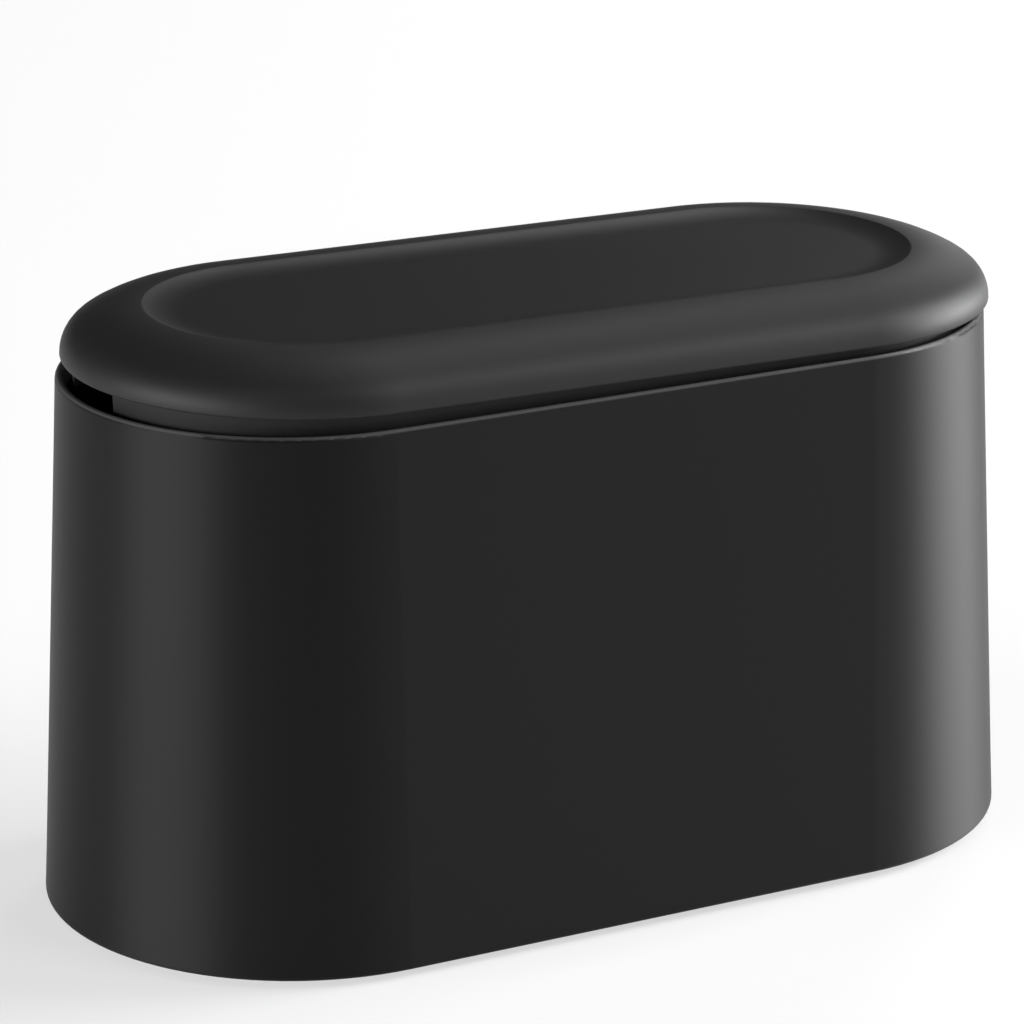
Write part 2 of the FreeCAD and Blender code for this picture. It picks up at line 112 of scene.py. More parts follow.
@dataclass(frozen=True)
class Finish:
    """One finish of the can, built as a node material on Object coordinates.

    Attributes:
        slot: The record's material slot, which also names the material.
        colour: Base colour, linear.
        roughness: Middle of the range that the surface's roughness varies in.
        specular: How much the surface mirrors head-on, 0.5 for most plastics.
        grain: What the fine relief looks like.
        grain_size: Size of one cell or line of the relief, in metres.
        grain_depth: Height of the relief, in metres.
        mottle: Share by which the colour and roughness drift over the piece.
        mottle_size: Size of those drifts, in metres.
        metallic: 1 for bare metal.
        stretch: How much longer a highlight is one way than the other, 0 for even.
        stretch_turn: Share of a full turn from level to the way that highlights are long.
        rim_highlight_colour: Colour of a painted highlight along the upper rim, lighter where the rolled edge
            would catch the light, linear.
        rim_highlight_from: Height at which the painted highlight starts, in metres.
        rim_highlight_to: Height at which it is full, in metres.
        wiped_roughness: Roughness of an obround area that is smooth from wiping.
        wiped_radius: Radius of that area's ends, seen from above, in metres.
        wiped_half: Half the length of its straight sides, in metres.
        wiped_shift: How far its middle is along the can, in metres.
        wiped_fade: Width over which it fades out, in metres.
        brush: Stretch of the relief along each axis, for brushed metal.
    """

    slot: str
    colour: tuple[float, float, float]
    roughness: float
    specular: float
    grain: Grain
    grain_size: float
    grain_depth: float
    mottle: float = 0.12
    mottle_size: float = 0.03
    metallic: float = 0.0
    stretch: float = 0.0
    stretch_turn: float = 0.0
    # Painted highlight: a lighter colour along the upper rim that stands in for the glint of its rolled edge
    rim_highlight_colour: tuple[float, float, float] | None = None
    rim_highlight_from: float = 0.0
    rim_highlight_to: float = 0.0
    wiped_roughness: float | None = None
    wiped_radius: float = 0.0
    wiped_half: float = 0.0
    wiped_shift: float = 0.0
    wiped_fade: float = 1.0 * MM
    brush: tuple[float, float, float] = (1.0, 1.0, 1.0)

    def build(self) -> bpy.types.Material:
        """Make the node material.

        Returns:
            The new material, named after its slot.
        """
        material = bpy.data.materials.new(f"{self.slot}_finish")
        material.use_nodes = True
        tree = material.node_tree
        shader = tree.nodes["Principled BSDF"]
        shader.inputs["Metallic"].default_value = self.metallic
        shader.inputs["Specular IOR Level"].default_value = self.specular
        shader.inputs["Anisotropic"].default_value = self.stretch
        shader.inputs["Anisotropic Rotation"].default_value = self.stretch_turn
        place = tree.nodes.new("ShaderNodeTexCoord").outputs["Object"]
        self.drift(tree, place, shader)
        self.relief(tree, place, shader)
        return material

    def drift(
        self, tree: bpy.types.NodeTree, place: bpy.types.NodeSocket, shader: bpy.types.Node
    ) -> None:
        """Let the colour and the roughness drift slowly over the piece.

        Args:
            tree: The material's nodes.
            place: Socket with the Object coordinates.
            shader: The surface shader.
        """
        drift = tree.nodes.new("ShaderNodeTexNoise")
        drift.inputs["Scale"].default_value = 1.0 / self.mottle_size
        drift.inputs["Detail"].default_value = DRIFT_DETAIL
        tree.links.new(place, drift.inputs["Vector"])
        tones = tree.nodes.new("ShaderNodeMix")
        tones.data_type = "RGBA"
        for socket, share in (("A", 1.0 - self.mottle), ("B", 1.0 + self.mottle)):
            tone = [share * channel for channel in self.colour] + [1.0]
            mix_socket(tones, socket).default_value = tone
        tree.links.new(drift.outputs["Fac"], tones.inputs[0])
        colour = mix_output(tones)
        # Painted highlight along the upper rim, put into the base colour
        if self.rim_highlight_colour:
            colour = self.painted_rim_highlight(tree, place, colour)
        tree.links.new(colour, shader.inputs["Base Color"])
        gloss = tree.nodes.new("ShaderNodeMapRange")
        gloss.inputs["To Min"].default_value = self.roughness * (1.0 - self.mottle / 2)
        gloss.inputs["To Max"].default_value = self.roughness * (1.0 + self.mottle / 2)
        tree.links.new(drift.outputs["Fac"], gloss.inputs["Value"])
        roughness = gloss.outputs["Result"]
        if self.wiped_roughness:
            roughness = self.wiped_area(tree, place, roughness)
        tree.links.new(roughness, shader.inputs["Roughness"])

    def wiped_area(
        self, tree: bpy.types.NodeTree, place: bpy.types.NodeSocket, outside: bpy.types.NodeSocket
    ) -> bpy.types.NodeSocket:
        """Smooth the roughness inside an obround, seen from above.

        Args:
            tree: The material's nodes.
            place: Socket with the Object coordinates.
            outside: Socket with the roughness outside the area.

        Returns:
            Socket with the roughness of the whole piece.
        """
        spot = place
        for operation, value in (
            ("SUBTRACT", (self.wiped_shift, 0.0, 0.0)),
            ("ABSOLUTE", ORIGIN),
            ("SUBTRACT", (self.wiped_half, 0.0, 0.0)),
            ("MAXIMUM", ORIGIN),
            ("MULTIPLY", (1.0, 1.0, 0.0)),
            ("LENGTH", ORIGIN),
        ):
            step = tree.nodes.new("ShaderNodeVectorMath")
            step.operation = operation
            step.inputs[1].default_value = value
            tree.links.new(spot, step.inputs[0])
            spot = step.outputs["Value" if operation == "LENGTH" else "Vector"]
        ramp = tree.nodes.new("ShaderNodeMapRange")
        ramp.inputs["From Min"].default_value = self.wiped_radius - self.wiped_fade
        ramp.inputs["From Max"].default_value = self.wiped_radius
        ramp.inputs["To Min"].default_value = self.wiped_roughness
        tree.links.new(spot, ramp.inputs["Value"])
        tree.links.new(outside, ramp.inputs["To Max"])
        return ramp.outputs["Result"]

    def painted_rim_highlight(
        self, tree: bpy.types.NodeTree, place: bpy.types.NodeSocket, colour: bpy.types.NodeSocket
    ) -> bpy.types.NodeSocket:
        """Paint a highlight into the colour along an upper edge, lighter where the rolled rim would catch the
        light.

        Args:
            tree: The material's nodes.
            place: Socket with the Object coordinates.
            colour: Socket with the colour below the edge.

        Returns:
            Socket with the colour of the whole piece.
        """
        split = tree.nodes.new("ShaderNodeSeparateXYZ")
        tree.links.new(place, split.inputs["Vector"])
        # Band over the rim's height that carries the painted highlight
        highlight_band = tree.nodes.new("ShaderNodeMapRange")
        highlight_band.interpolation_type = "SMOOTHSTEP"
        highlight_band.inputs["From Min"].default_value = self.rim_highlight_from
        highlight_band.inputs["From Max"].default_value = self.rim_highlight_to
        tree.links.new(split.outputs["Z"], highlight_band.inputs["Value"])
        blend = tree.nodes.new("ShaderNodeMix")
        blend.data_type = "RGBA"
        tree.links.new(highlight_band.outputs["Result"], blend.inputs[0])
        tree.links.new(colour, mix_socket(blend, "A"))
        mix_socket(blend, "B").default_value = (*self.rim_highlight_colour, 1.0)
        return mix_output(blend)

    def relief(
        self, tree: bpy.types.NodeTree, place: bpy.types.NodeSocket, shader: bpy.types.Node
    ) -> None:
        """Break up the surface with the finish's fine relief.

        Args:
            tree: The material's nodes.
            place: Socket with the Object coordinates.
            shader: The surface shader.
        """
        mapping = tree.nodes.new("ShaderNodeMapping")
        mapping.inputs["Scale"].default_value = [1.0 / stretch for stretch in self.brush]
        tree.links.new(place, mapping.inputs["Vector"])
        if self.grain is Grain.SPARK:
            cells = tree.nodes.new("ShaderNodeTexVoronoi")
            cells.feature = "SMOOTH_F1"
            height = cells.outputs["Distance"]
        else:
            cells = tree.nodes.new("ShaderNodeTexNoise")
            cells.inputs["Detail"].default_value = GRAIN_DETAIL[self.grain]
            height = cells.outputs["Fac"]
        cells.inputs["Scale"].default_value = 1.0 / self.grain_size
        tree.links.new(mapping.outputs["Vector"], cells.inputs["Vector"])
        bump = tree.nodes.new("ShaderNodeBump")
        bump.inputs["Distance"].default_value = self.grain_depth
        tree.links.new(height, bump.inputs["Height"])
        tree.links.new(bump.outputs["Normal"], shader.inputs["Normal"])


def mix_socket(node: bpy.types.Node, name: str) -> bpy.types.NodeSocket:
    """The colour input of a Mix node by its name, A or B."""
    return next(s for s in node.inputs if s.name == name and s.type == "RGBA")


def mix_output(node: bpy.types.Node) -> bpy.types.NodeSocket:
    """The colour output of a Mix node."""
    return next(s for s in node.outputs if s.type == "RGBA")


SHELL_PAINT = Finish(
    "shell_paint", (0.004, 0.004, 0.0042), roughness=0.55, specular=0.22,
    grain=Grain.BRUSHED, grain_size=0.2 * MM, grain_depth=0.0008 * MM,
    mottle=0.08, mottle_size=0.04, stretch=0.8, stretch_turn=0.25,
    # Painted highlight along the rolled rim, from 135.3 to 135.8 mm up
    rim_highlight_colour=(0.07, 0.07, 0.0715), rim_highlight_from=135.3 * MM, rim_highlight_to=135.8 * MM,
    brush=(40.0, 40.0, 1.0),
)
LID_PLASTIC = Finish(
    "lid_plastic", (0.013, 0.013, 0.0133), roughness=0.52, specular=0.24,
    grain=Grain.SPARK, grain_size=0.35 * MM, grain_depth=0.003 * MM,
    mottle=0.06, wiped_roughness=0.4, wiped_radius=37.8 * MM, wiped_half=LID_HALF,
    wiped_shift=LID_SHIFT,
)
BUCKET_PLASTIC = Finish(
    "bucket_plastic", (0.012, 0.012, 0.0122), roughness=0.55, specular=0.2,
    grain=Grain.SPARK, grain_size=0.4 * MM, grain_depth=0.005 * MM,
)
PAN_PLASTIC = Finish(
    "pan_plastic", (0.012, 0.012, 0.0125), roughness=0.6, specular=0.4,
    grain=Grain.SPARK, grain_size=0.5 * MM, grain_depth=0.015 * MM,
)
FOOT_RUBBER = Finish(
    "foot_rubber", (0.018, 0.018, 0.018), roughness=0.8, specular=0.35,
    grain=Grain.PEEL, grain_size=0.4 * MM, grain_depth=0.02 * MM,
)
BUMPER_SILICONE = Finish(
    "bumper_silicone", (0.05, 0.05, 0.052), roughness=0.55, specular=0.4,
    grain=Grain.PEEL, grain_size=0.5 * MM, grain_depth=0.008 * MM,
)
HINGE_STEEL = Finish(
    "hinge_steel", (0.46, 0.46, 0.47), roughness=0.34, specular=0.5,
    grain=Grain.BRUSHED, grain_size=0.12 * MM, grain_depth=0.004 * MM,
    mottle=0.1, mottle_size=6 * MM, metallic=1.0, brush=(1.0, 30.0, 1.0),
)
FASTENER_STEEL = Finish(
    "fastener_steel", (0.55, 0.55, 0.56), roughness=0.26, specular=0.5,
    grain=Grain.PEEL, grain_size=0.3 * MM, grain_depth=0.002 * MM,
    mottle=0.08, mottle_size=3 * MM, metallic=1.0,
)
BUSH_NYLON = Finish(
    "bush_nylon", (0.68, 0.66, 0.6), roughness=0.5, specular=0.45,
    grain=Grain.PEEL, grain_size=0.4 * MM, grain_depth=0.004 * MM,
    mottle=0.04, mottle_size=4 * MM,
)
FINISHES = (
    SHELL_PAINT, LID_PLASTIC, BUCKET_PLASTIC, PAN_PLASTIC, FOOT_RUBBER,
    BUMPER_SILICONE, HINGE_STEEL, FASTENER_STEEL, BUSH_NYLON,
)
FINISH_OF_SLOT = {finish.slot: finish for finish in FINISHES}


class Paintbox:
    """Builds each finish once and hands it out by slot."""

    def __init__(self) -> None:
        """Build all the finishes of the can."""
        self.materials = {finish.slot: finish.build() for finish in FINISHES}

    def dress(self, piece: bpy.types.Object, finish: Finish) -> None:
        """Give a piece one finish all over.

        Args:
            piece: A new piece or a node of the frame.
            finish: The finish that it takes.
        """
        material = self.materials[finish.slot]
        if piece.material_slots:
            for slot in piece.material_slots:
                slot.material = material
        else:
            piece.data.materials.append(material)


def fractions(start: float, end: float, count: int) -> list[float]:
    """Evenly spaced values from start to end, both included."""
    return [start + (end - start) * step / (count - 1) for step in range(count)]


def arc(centre: tuple[float, float], radius: float, start: float, end: float) -> Section:
    """Points of an arc in a half-section.

    Args:
        centre: (radius, height) of the arc's middle, in metres.
        radius: Of the arc, in metres.
        start: Degrees at which the arc starts, 0 outwards and 90 upwards.
        end: Degrees at which it ends.

    Returns:
        (radius, height) points along the arc.
    """
    return [
        (centre[0] + radius * math.cos(angle), centre[1] + radius * math.sin(angle))
        for angle in fractions(math.radians(start), math.radians(end), ARC_POINTS)
    ]


def turned(section: Section, sides: int) -> bmesh.types.BMesh:
    """Spin a half-section about the upright axis into a closed piece.

    Args:
        section: (radius, height) points, from the axis at one end to the axis at the other.
        sides: Steps of the spin.

    Returns:
        The new mesh, on the origin.
    """
    piece = bmesh.new()
    chain = [piece.verts.new((radius, 0.0, height)) for radius, height in section]
    edges = [piece.edges.new(pair) for pair in zip(chain, chain[1:])]
    bmesh.ops.spin(
        piece, geom=chain + edges, axis=UP, cent=ORIGIN, angle=math.tau, steps=sides,
        use_merge=True,
    )
    bmesh.ops.remove_doubles(piece, verts=piece.verts, dist=WELD)
    bmesh.ops.recalc_face_normals(piece, faces=piece.faces)
    return piece


def soften(piece: bmesh.types.BMesh, width: float, segments: int) -> None:
    """Round every sharp edge of a piece.

    Args:
        piece: The mesh.
        width: Width of the rounding, in metres.
        segments: Steps across the rounding.
    """
    sharp = [edge for edge in piece.edges if edge.calc_face_angle(0.0) > CREASE]
    bmesh.ops.bevel(
        piece, geom=sharp, offset=width, offset_type="OFFSET", affect="EDGES", segments=segments,
        profile=ROUND_PROFILE, material=-1, clamp_overlap=True,
    )


def extruded(
    piece: bmesh.types.BMesh, ring: Sequence[bmesh.types.BMEdge]
) -> tuple[list[bmesh.types.BMVert], list[bmesh.types.BMEdge]]:
    """Extrude a ring of edges on the spot.

    Args:
        piece: The mesh.
        ring: The edges to start from.

    Returns:
        The corners and the edges of the new ring.
    """
    made = bmesh.ops.extrude_edge_only(piece, edges=ring)["geom"]
    verts = [item for item in made if isinstance(item, bmesh.types.BMVert)]
    fresh = set(verts)
    edges = [
        item for item in made
        if isinstance(item, bmesh.types.BMEdge) and fresh.issuperset(item.verts)
    ]
    return verts, edges


def grown(
    piece: bmesh.types.BMesh, ring: Sequence[bmesh.types.BMEdge], scale: float, lift: float
) -> list[bmesh.types.BMEdge]:
    """Extrude a ring of edges into the next ring.

    Args:
        piece: The mesh.
        ring: The edges to start from.
        scale: Size of the new ring in shares of the old one.
        lift: How far the new ring stands above the old one, in metres.

    Returns:
        The edges of the new ring.
    """
    verts, edges = extruded(piece, ring)
    bmesh.ops.scale(piece, vec=(scale, scale, 1.0), verts=verts)
    bmesh.ops.translate(piece, vec=UP * lift, verts=verts)
    return edges


def joined(pieces: Sequence[bmesh.types.BMesh]) -> bmesh.types.BMesh:
    """Put several meshes into one.

    Args:
        pieces: The meshes, which are freed.

    Returns:
        The mesh that holds them all.
    """
    group = bmesh.new()
    for piece in pieces:
        carrier = bpy.data.meshes.new("carrier")
        piece.to_mesh(carrier)
        piece.free()
        group.from_mesh(carrier)
        bpy.data.meshes.remove(carrier)
    return group


def gathered(single: bmesh.types.BMesh, places: Sequence[Matrix]) -> bmesh.types.BMesh:
    """Set copies of one mesh at several places.

    Args:
        single: The mesh to copy, which is freed.
        places: Where each copy goes.

    Returns:
        One mesh with all the copies.
    """
    copies = [single.copy() for _ in places]
    single.free()
    for copy, place in zip(copies, places):
        copy.transform(place)
    return joined(copies)


def block(low: Vector, high: Vector) -> bmesh.types.BMesh:
    """A box between two corners.

    Args:
        low: Lowest corner.
        high: Highest corner.

    Returns:
        The new mesh.
    """
    piece = bmesh.new()
    bmesh.ops.create_cube(piece, size=1.0)
    bmesh.ops.scale(piece, vec=high - low, verts=piece.verts)
    bmesh.ops.translate(piece, vec=(low + high) / 2, verts=piece.verts)
    return piece


def carved(piece: bmesh.types.BMesh, cutter: bmesh.types.BMesh) -> bmesh.types.BMesh:
    """Cut one closed mesh out of another.

    Args:
        piece: The mesh to cut, which is freed.
        cutter: The mesh to take away, which is freed.

    Returns:
        The mesh that is left.
    """
    holders = []
    for name, part in (("uncut", piece), ("cutter", cutter)):
        mesh = bpy.data.meshes.new(name)
        part.to_mesh(mesh)
        part.free()
        holder = bpy.data.objects.new(name, mesh)
        bpy.context.scene.collection.objects.link(holder)
        holders.append(holder)
    cut = holders[0].modifiers.new("cut", "BOOLEAN")
    cut.operation = "DIFFERENCE"
    cut.solver = "EXACT"
    cut.object = holders[1]
    left = bmesh.new()
    left.from_object(holders[0], bpy.context.evaluated_depsgraph_get())
    for holder in holders:
        mesh = holder.data
        bpy.data.objects.remove(holder)
        bpy.data.meshes.remove(mesh)
    return left


@dataclass(frozen=True)
class CrossScrew:
    """A pan-head screw with a cross recess, head up, its seat on the origin.

    Attributes:
        head_radius: Outside of the head, in metres.
        head_height: Height of the head, in metres.
        head_round: Rounding round the top of the head, in metres.
        shank_radius: Outside of the shank, in metres.
        shank_length: From the seat to the tip, in metres.
        cross_reach: Half the span of the recess, in metres.
        cross_half: Half the width of one arm, in metres.
        cross_depth: Depth of the recess, in metres.
        cross_taper: Size of the recess at its foot in shares of its mouth.
        sides: Sides of the round parts.
        round_steps: Steps of the rounding.
    """

    head_radius: float = 2.6 * MM
    head_height: float = 1.2 * MM
    head_round: float = 0.7 * MM
    shank_radius: float = 1.15 * MM
    shank_length: float = 4.2 * MM
    cross_reach: float = 1.35 * MM
    cross_half: float = 0.32 * MM
    cross_depth: float = 0.75 * MM
    cross_taper: float = 0.6
    sides: int = 40
    round_steps: int = 5

    def build(self) -> bmesh.types.BMesh:
        """Model the screw.

        Returns:
            The new mesh.
        """
        piece = bmesh.new()
        made = bmesh.ops.create_circle(piece, segments=self.sides, radius=self.head_radius)
        seat = list({edge for vert in made["verts"] for edge in vert.link_edges})
        top = self.head_top(piece, seat)
        mouth = self.recess(piece)
        bmesh.ops.bridge_loops(piece, edges=top + mouth)
        neck = grown(piece, seat, self.shank_radius / self.head_radius, 0.0)
        tip = grown(piece, neck, 1.0, -self.shank_length)
        bmesh.ops.edgeloop_fill(piece, edges=tip)
        bmesh.ops.recalc_face_normals(piece, faces=piece.faces)
        return piece

    def head_top(
        self, piece: bmesh.types.BMesh, seat: Sequence[bmesh.types.BMEdge]
    ) -> list[bmesh.types.BMEdge]:
        """Raise the head's side and round it over to the flat top.

        Args:
            piece: The mesh.
            seat: The ring of edges at the seat.

        Returns:
            The ring of edges round the flat top.
        """
        ring = grown(piece, seat, 1.0, self.head_height - self.head_round)
        radius = self.head_radius
        height = 0.0
        for step in range(1, self.round_steps + 1):
            angle = math.pi / 2 * step / self.round_steps
            next_radius = self.head_radius - self.head_round * (1.0 - math.cos(angle))
            next_height = self.head_round * math.sin(angle)
            ring = grown(piece, ring, next_radius / radius, next_height - height)
            radius = next_radius
            height = next_height
        return ring

    def recess(self, piece: bmesh.types.BMesh) -> list[bmesh.types.BMEdge]:
        """Sink the cross into the middle of the head.

        Args:
            piece: The mesh.

        Returns:
            The edges round the mouth of the cross.
        """
        made = bmesh.ops.create_grid(piece, x_segments=3, y_segments=3, size=self.cross_reach)
        verts = made["verts"]
        for vert in verts:
            for axis in (0, 1):
                if abs(vert.co[axis]) < self.cross_reach / 2:
                    vert.co[axis] = math.copysign(self.cross_half, vert.co[axis])
        bmesh.ops.translate(piece, vec=UP * self.head_height, verts=verts)
        faces = list({face for vert in verts for face in vert.link_faces})
        corners = [
            face for face in faces
            if min(abs(face.calc_center_median()[axis]) for axis in (0, 1)) > self.cross_half
        ]
        arms = [face for face in faces if face not in corners]
        bmesh.ops.delete(piece, geom=corners, context="FACES")
        mouth = [edge for face in arms for edge in face.edges if len(edge.link_faces) == 1]
        sunk = bmesh.ops.extrude_face_region(piece, geom=arms)["geom"]
        foot = [item for item in sunk if isinstance(item, bmesh.types.BMVert)]
        left_over = [face for face in arms if face.is_valid]
        bmesh.ops.delete(piece, geom=left_over, context="FACES_ONLY")
        bmesh.ops.scale(piece, vec=(self.cross_taper, self.cross_taper, 1.0), verts=foot)
        bmesh.ops.translate(piece, vec=UP * -self.cross_depth, verts=foot)
        return mouth


@dataclass(frozen=True)
class LidMoulding:
    """The lid's moulding, level: a fat rounded crown round a crisp-edged dish.

    Attributes:
        straight_half: Half the length of a straight side, in metres.
        shift: How far the lid sits towards its hinge, in metres.
        radius: Widest radius of the ends, in metres.
        lip_level: Underside of the lip, in metres.
        lip_round: Rounding of the lip's outer edge, in metres.
        crown_height: Crest above the widest line, in metres.
        nose_round: Small radius of the crown, at the widest line, in metres.
        crest_inset: Crest in from the widest line, in metres.
        dish_depth: Dish below the crest, in metres.
        dish_edge: Rounding of the dish's upper edge, in metres.
        dish_foot: Hollow rounding down to the dish's floor, in metres.
        wall: Thickness of the moulding, in metres.
        end_steps: Steps round one end.
    """

    straight_half: float = LID_HALF
    shift: float = LID_SHIFT
    radius: float = 57.5 * MM
    lip_level: float = 137.75 * MM
    lip_round: float = 0.6 * MM
    crown_height: float = 11.9 * MM
    nose_round: float = 9.0 * MM
    crest_inset: float = 19.8 * MM
    dish_depth: float = 1.8 * MM
    dish_edge: float = 0.9 * MM
    dish_foot: float = 25.0 * MM
    wall: float = 2.2 * MM
    end_steps: int = 72

    def section(self) -> Section:
        """Work out the half-section, from the dish's floor over the crown to the inside.

        Returns:
            (radius, height) points, from the outer floor's edge to the inner ceiling's.
        """
        widest = self.lip_level + self.lip_round
        crest = widest + self.crown_height
        crest_radius = self.radius - self.crest_inset
        run = self.crest_inset - self.nose_round
        crown_round = (run ** 2 + self.crown_height ** 2 - self.nose_round ** 2) / (
            2 * (self.crown_height - self.nose_round)
        )
        nose = (self.radius - self.nose_round, widest)
        crown = (crest_radius, crest - crown_round)
        meeting = math.degrees(math.atan2(nose[1] - crown[1], nose[0] - crown[0]))
        rounds = self.dish_edge + self.dish_foot
        slope = math.acos(1.0 - self.dish_depth / rounds)
        edge = (crest_radius, crest - self.dish_edge)
        foot = (edge[0] - rounds * math.sin(slope), edge[1] + rounds * math.cos(slope))
        lean = math.degrees(slope)
        ceiling = crest - self.dish_depth - self.wall
        inner_crown = crown_round - self.wall
        inner_end = math.degrees(math.asin((ceiling - crown[1]) / inner_crown))
        return [
            *arc(foot, self.dish_foot, -90.0, lean - 90.0),
            *arc(edge, self.dish_edge, lean + 90.0, 90.0),
            *arc(crown, crown_round, 90.0, meeting)[1:],
            *arc(nose, self.nose_round, meeting, 0.0)[1:],
            *arc((self.radius - self.lip_round, widest), self.lip_round, 0.0, -90.0)[1:],
            *arc(nose, self.nose_round - self.wall, 0.0, meeting),
            *arc(crown, inner_crown, meeting, inner_end)[1:],
            (foot[0], ceiling),
        ]

    def build(self) -> bmesh.types.BMesh:
        """Carry the half-section round the lid and close its floor and its ceiling.

        Returns:
            The mesh, level.
        """
        piece = bmesh.new()
        ends = self.straight_half
        chain = [piece.verts.new((ends, -radius, height)) for radius, height in self.section()]
        edges = [piece.edges.new(pair) for pair in zip(chain, chain[1:])]
        ring = chain + edges
        for side in (1, -1):
            ring = bmesh.ops.spin(
                piece, geom=ring, axis=UP, cent=(side * ends, 0.0, 0.0), angle=math.pi,
                steps=self.end_steps, use_merge=False,
            )["geom_last"]
            straight = [item for item in ring if isinstance(item, bmesh.types.BMEdge)]
            verts, edges = extruded(piece, straight)
            bmesh.ops.translate(piece, vec=(-2.0 * side * ends, 0.0, 0.0), verts=verts)
            ring = verts + edges
        bmesh.ops.remove_doubles(piece, verts=piece.verts, dist=WELD)
        open_edges = [edge for edge in piece.edges if edge.is_boundary]
        bmesh.ops.holes_fill(piece, edges=open_edges, sides=0)
        bmesh.ops.recalc_face_normals(piece, faces=piece.faces)
        bmesh.ops.translate(piece, vec=(self.shift, 0.0, 0.0), verts=piece.verts)
        return piece


@dataclass
class SubAssembly:
    """Pieces that ride on one body of the frame.

    Attributes:
        body: The body that they ride on.
        sides: Sides of the turned pieces.
    """

    body: Body
    sides: int = 48

    def nodes(self) -> Sequence[str]:
        """Names of the body's nodes."""
        return frame["record"]["behaviour"]["bodies"][self.body.value]

    def dress(self, paintbox: Paintbox, modelled: Sequence[str]) -> None:
        """Give the body's own nodes their finishes.

        Args:
            paintbox: The finishes.
            modelled: Nodes that new pieces stand for.
        """
        for part in frame["record"]["subparts"]:
            node = part["node"]
            if node in self.nodes() and node not in modelled:
                paintbox.dress(frame["nodes"][node], FINISH_OF_SLOT[part["material_slot"]])
                log.info("%s: dressed %s", self.body.value, node)

    def place(
        self, name: str, piece: bmesh.types.BMesh, node: str, finish: Finish, paintbox: Paintbox
    ) -> None:
        """Make an object of a mesh, dress it and let it stand for a node.

        Args:
            name: Name of the piece.
            piece: The mesh, in its resting place, which is freed.
            node: The node that it stands for.
            finish: Its finish.
            paintbox: The finishes.
        """
        mesh = bpy.data.meshes.new(name)
        piece.to_mesh(mesh)
        piece.free()
        mesh.shade_smooth()
        mesh.set_sharp_from_angle(angle=CREASE)
        made = bpy.data.objects.new(name, mesh)
        bpy.context.scene.collection.objects.link(made)
        paintbox.dress(made, finish)
        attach(made, self.body.value)
        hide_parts(node)
        log.info("%s: modelled %s", self.body.value, name)


@dataclass
class StandingCan(SubAssembly):
    """Shell, pan and rubber feet, which stand still.

    Attributes:
        foot_round: Rounding of a foot's lower edge, in metres.
        tread_radius: Middle of the ring groove under a foot, in metres.
        tread_width: Width of that groove, in metres.
        tread_depth: Depth of that groove, in metres.
        cup_radius: Hollow in the middle of a foot, in metres.
        cup_depth: Depth of that hollow, in metres.
        tread_soft: Rounding of the grooves' edges, in metres.
        soft_steps: Steps across that rounding.
    """

    body: Body = Body.CAN
    foot_round: float = 1.2 * MM
    tread_radius: float = 4.3 * MM
    tread_width: float = 0.9 * MM
    tread_depth: float = 0.7 * MM
    cup_radius: float = 2.2 * MM
    cup_depth: float = 0.5 * MM
    tread_soft: float = 0.12 * MM
    soft_steps: int = 2

    def build(self, paintbox: Paintbox) -> None:
        """Dress the shell and the pan and model the feet.

        Args:
            paintbox: The finishes.
        """
        feet = [node for node in self.nodes() if node.startswith("foot_")]
        self.dress(paintbox, feet)
        for node in feet:
            self.place(f"{node}_tread", self.foot(node), node, FOOT_RUBBER, paintbox)

    def foot(self, node: str) -> bmesh.types.BMesh:
        """Model one rubber foot with a ring groove and a hollow under it.

        Args:
            node: The foot's node.

        Returns:
            The mesh, in place.
        """
        low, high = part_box(node)
        radius = (high.x - low.x) / 2
        height = high.z - low.z
        inner = self.tread_radius - self.tread_width / 2
        outer = self.tread_radius + self.tread_width / 2
        section = [
            (0.0, self.cup_depth), (self.cup_radius, self.cup_depth), (self.cup_radius, 0.0),
            (inner, 0.0), (inner, self.tread_depth), (outer, self.tread_depth), (outer, 0.0),
            *arc((radius - self.foot_round, self.foot_round), self.foot_round, -90.0, 0.0),
            (radius, height), (0.0, height),
        ]
        piece = turned(section, self.sides)
        soften(piece, self.tread_soft, self.soft_steps)
        middle = (low + high) / 2
        bmesh.ops.translate(piece, vec=(middle.x, middle.y, low.z), verts=piece.verts)
        return piece


